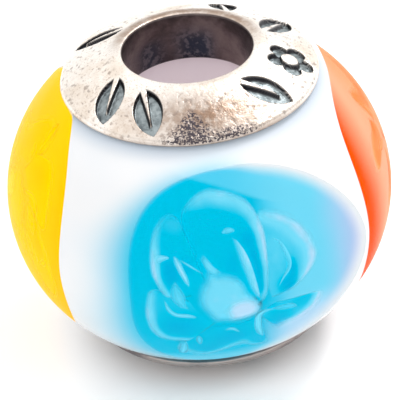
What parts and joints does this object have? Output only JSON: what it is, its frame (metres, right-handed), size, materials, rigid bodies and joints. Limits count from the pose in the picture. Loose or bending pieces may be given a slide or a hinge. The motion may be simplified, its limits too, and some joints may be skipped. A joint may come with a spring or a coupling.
{
  "type": "european charm bead",
  "caption": "Round opal glass charm bead with coloured flower medallions and silver end caps, threaded on a bracelet chain through its wide bore.",
  "frame": {"origin": "centre of the bore, midway between the two end faces", "axes": "+Z along the bore out of the top cap, -Y towards the blue medallion's side, +X towards the orange medallion"},
  "size_m": [0.014, 0.014, 0.0116],
  "materials": {
    "opal_glass": "polished opaque white",
    "blue_glass": "polished clear",
    "orange_glass": "polished clear",
    "lilac_glass": "polished clear",
    "yellow_glass": "polished clear",
    "pale_blue_glass": "opaque",
    "pale_orange_glass": "opaque",
    "pale_lilac_glass": "opaque",
    "pale_yellow_glass": "opaque",
    "silver": "cast silver with dark tarnish in the engraving"
  },
  "bodies": {
    "root": {"glass_body": "opal_glass", "medallion_blue": "blue_glass", "medallion_orange": "orange_glass", "medallion_lilac": "lilac_glass", "medallion_yellow": "yellow_glass", "flower_blue": "pale_blue_glass", "flower_orange": "pale_orange_glass", "flower_lilac": "pale_lilac_glass", "flower_yellow": "pale_yellow_glass", "cap_top": "silver", "cap_bottom": "silver"}
  },
  "joints": []
}
